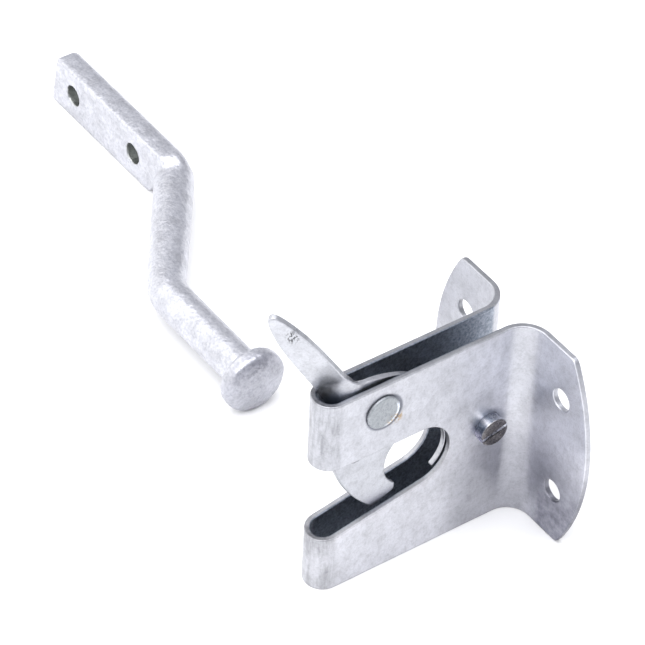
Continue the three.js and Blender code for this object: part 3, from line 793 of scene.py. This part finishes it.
profile += [(-6.19, 3.0), (6.2, 3.0), (6.2, 5.8)] + rounding(6.62, 5.15, 0.75, -0.55, math.pi / 2, 8)
profile += [(7.38, 4.3), (7.33, 2.5), (7.3, 0)]
rivet = turned("guide_rivet_peened", rivet_at, profile, 72)
rivet.data.materials.append(rivet_finish)
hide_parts("guide_rivet")
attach(rivet, "latch")

# ---------------------------------------------------------------- strike bar
# Forged from 12.7 mm round steel: one end is flattened to a D and punched twice, then the bar is cranked.
# The other end is upset to a button head. The zinc on it is thicker and lumpier than on the sheet.
bar_start = Vector((-240.8, -10.0))
pad_height = 10
hole_insets = (13.5, 50.5)
bar_finish, tree, shader = metal("galvanised_forging", (0.72, 0.73, 0.78), 0.42)
coat = ramp(tree, grain(tree, 1100, 4, 0.65), [(0.3, (0.46, 0.47, 0.52)), (0.58, (0.64, 0.645, 0.69))])
clouds = ramp(tree, grain(tree, 170, 4, 0.6), [(0.32, 0.80), (0.6, 1.0)])
flecks = ramp(tree, grain(tree, 1500, 4, 0.75), [(0.28, 0.4), (0.37, 1.0)])
tone = blend(tree, "MULTIPLY", 1.0, coat, clouds)
tone = blend(tree, "MULTIPLY", 0.7, tone, flecks)
# Painted shade darkens the button head.
tone = blend(tree, "MULTIPLY", beyond(tree, "X", -76.5, -73.0), tone, (0.80, 0.80, 0.82))
for inset in hole_insets:
    punched = near(tree, (bar_start.x + inset, 0, pad_height), (1, 0, 1), 3.7, 4.2)
    tone = blend(tree, "MULTIPLY", punched, tone, (0.80, 0.82, 0.74))
tree.links.new(tone, shader.inputs["Base Color"])
tree.links.new(ramp(tree, grain(tree, 500, 3, 0.6), [(0.3, 0.32), (0.7, 0.46)]), shader.inputs["Roughness"])
relief(tree, shader, [(grain(tree, 200, 3, 0.6), 0.00055), (grain(tree, 1000, 4, 0.65), 0.00010)])

# The middle line runs along the flat, round a bend, along the crank, round a bend back and along the rod.
# Each stretch has a length, a turn and a number of steps.
crank_start, rod_end = 68.8, 163.3
crank_run, crank_offset = 48, 35.5
pad_bend, rod_bend = 11, 17
crank_turn = math.atan2(crank_offset, crank_run)
pad_cut, rod_cut = pad_bend * math.tan(crank_turn / 2), rod_bend * math.tan(crank_turn / 2)
lengths = ((crank_start - pad_cut, 0, 100),
           (pad_bend * crank_turn, -crank_turn, 14),
           (math.hypot(crank_run, crank_offset) - pad_cut - rod_cut, 0, 30),
           (rod_bend * crank_turn, crank_turn, 18),
           (rod_end - crank_start - crank_run - rod_cut, 0, 30))
stations = [(bar_start.x, bar_start.y, 0.0, 0.0)]
for length, swing, steps in lengths:
    for _ in range(steps):
        x, y, heading, passed = stations[-1]
        stride = length / steps
        middle = heading + swing / steps / 2
        stations.append((x + stride * math.cos(middle), y + stride * math.sin(middle),
                         heading + swing / steps, passed + stride))


def smooth(value, low, high):
    t = min(max((value - low) / (high - low), 0), 1)
    return t * t * (3 - 2 * t)


# The flat's section is a full oval cut off by its front face. It runs out into the round bar on a slant.
bar_steps = 64
rod_height = 11.25
crank_radius, rod_slimmer = 6.85, 0.25
shear_lean, shear_length = 0.17, 14
pad_middle, pad_crown, pad_face = -1.5, 7, -5
pad_half_height = 9.9
pad_fullness = 2 / 3
run_out, run_out_slant = (63.6, 69.6), 0.42
points = []
for x, y, heading, passed in stations:
    radius = crank_radius - rod_slimmer * smooth(passed, 90, 118)
    sheared = shear_lean * max(0, 1 - passed / shear_length)
    for a in np.linspace(0, 2 * math.pi, bar_steps, endpoint=False):
        c, s = math.cos(a), math.sin(a)
        pad_side = max(pad_middle + pad_crown * math.copysign(abs(c) ** pad_fullness, c), pad_face)
        pad_up = pad_height + pad_half_height * math.copysign(abs(s) ** pad_fullness, s)
        flat = 1 - smooth(passed - run_out_slant * (pad_up - pad_height), *run_out)
        rod_side, rod_up = radius * c, rod_height + radius * s
        side = rod_side + (pad_side - rod_side) * flat
        rise = rod_up + (pad_up - rod_up) * flat
        points.append((x + sheared * rise - side * math.sin(heading), y + side * math.cos(heading), rise))
end_x, end_y = stations[-1][:2]
button = [(0.1, 9.6), (0.4, 10.5), (0.9, 11.0), (1.6, 11.22), (3.9, 11.22),
          (4.9, 11.0), (5.7, 10.2), (6.3, 8.9), (6.9, 6.6), (7.3, 3.5)]
for along, radius in button:
    for a in np.linspace(0, 2 * math.pi, bar_steps, endpoint=False):
        points.append((end_x + along, end_y + radius * math.cos(a), rod_height + radius * math.sin(a)))
rows = len(points) // bar_steps
faces = [tuple(range(bar_steps))[::-1], tuple(range((rows - 1) * bar_steps, rows * bar_steps))]
for i in range(rows - 1):
    faces += wall(i * bar_steps, (i + 1) * bar_steps, bar_steps)
bar_mesh = bpy.data.meshes.new("strike_bar_forged")
bar_mesh.from_pydata((np.array(points) * 0.001 + np.array(latch)).tolist(), [], faces)
work = bmesh.new()
work.from_mesh(bar_mesh)
bmesh.ops.recalc_face_normals(work, faces=work.faces)
work.to_mesh(bar_mesh)
work.free()
bar = bpy.data.objects.new("strike_bar_forged", bar_mesh)
bpy.context.scene.collection.objects.link(bar)
punch_mesh = bpy.data.meshes.new("punch")
work = bmesh.new()
for inset in hole_insets:
    centre = Vector((bar_start.x + inset, bar_start.y, pad_height)) * 0.001 + latch
    place = Matrix.Translation(centre) @ Matrix.Rotation(math.pi / 2, 4, "X")
    bmesh.ops.create_cone(work, cap_ends=True, segments=48, radius1=0.0036, radius2=0.0039, depth=0.03,
                          matrix=place)
work.to_mesh(punch_mesh)
work.free()
punch = bpy.data.objects.new("punch", punch_mesh)
bpy.context.scene.collection.objects.link(punch)
punching = bar.modifiers.new("holes", "BOOLEAN")
punching.operation, punching.object, punching.solver = "DIFFERENCE", punch, "EXACT"
dipping = bar.modifiers.new("coat", "REMESH")
dipping.mode, dipping.voxel_size, dipping.use_smooth_shade = "VOXEL", 0.0004, True
draining = bar.modifiers.new("drain", "SMOOTH")
draining.factor, draining.iterations = 0.5, 4
baked(bar)
bpy.data.objects.remove(punch)
# The coat's lumps are raised on the mesh itself, so that they show on the outline.
count = len(bar.data.vertices) * 3
places, facings = np.empty(count), np.empty(count)
bar.data.vertices.foreach_get("co", places)
bar.data.vertices.foreach_get("normal", facings)
lumps = []
for p in map(Vector, places.reshape(-1, 3) * 1000):
    lumps.append(0.07 * noise.noise(p * 0.2) + 0.03 * noise.noise(p * 0.8) - 0.02)
lumpy = places.reshape(-1, 3) + facings.reshape(-1, 3) * np.array(lumps)[:, None] * 0.001
bar.data.vertices.foreach_set("co", lumpy.ravel())
bar.data.update()
bar.data.materials.append(bar_finish)
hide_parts("strike_bar")
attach(bar, "strike_bar")

# ---------------------------------------------------------------- table and light
# A pale table top under the parts, and soft light all round that is strongest from past the nose.
# One square lamp hangs overhead.
table_mesh = bpy.data.meshes.new("table")
table_mesh.from_pydata([(x, y, 0) for x, y in ((-4, -4), (4, -4), (4, 4), (-4, 4))], [], [(0, 1, 2, 3)])
table = bpy.data.objects.new("table", table_mesh)
bpy.context.scene.collection.objects.link(table)
table_finish = bpy.data.materials.new("table_top")
table_finish.use_nodes = True
shader = table_finish.node_tree.nodes["Principled BSDF"]
shader.inputs["Base Color"].default_value = (0.93, 0.93, 0.93, 1)
shader.inputs["Roughness"].default_value = 0.9
table_mesh.materials.append(table_finish)

world = bpy.data.worlds.new("studio")
bpy.context.scene.world = world
bpy.context.scene.view_settings.view_transform = "Standard"
world.use_nodes = True
sky = world.node_tree
view = add(sky, "ShaderNodeTexCoord")
toward = add(sky, "ShaderNodeVectorMath", operation="DOT_PRODUCT")
toward.inputs[1].default_value = Vector((-0.45, -0.80, 0.40)).normalized()
sky.links.new(view.outputs["Generated"], toward.inputs[0])
glow = band(sky, toward.outputs["Value"], -0.5, 0.9)
shade = ramp(sky, glow, [(0.0, (0.42, 0.425, 0.45)), (0.55, (0.46, 0.465, 0.49)),
                         (0.80, (0.62, 0.62, 0.64)), (1.0, (1.0, 1.0, 1.0))])
sky.links.new(shade, sky.nodes["Background"].inputs["Color"])
sky.nodes["Background"].inputs["Strength"].default_value = 1.75

lamp_data = bpy.data.lights.new("overhead", "AREA")
lamp_data.shape = "SQUARE"
lamp_data.size = 1.6
lamp_data.energy = 18
lamp = bpy.data.objects.new("overhead", lamp_data)
lamp.location = Vector((0.2, -0.15, 1.3))
lamp.rotation_euler = (Vector((0, 0, 0.04)) - lamp.location).to_track_quat("-Z", "Y").to_euler()
bpy.context.scene.collection.objects.link(lamp)
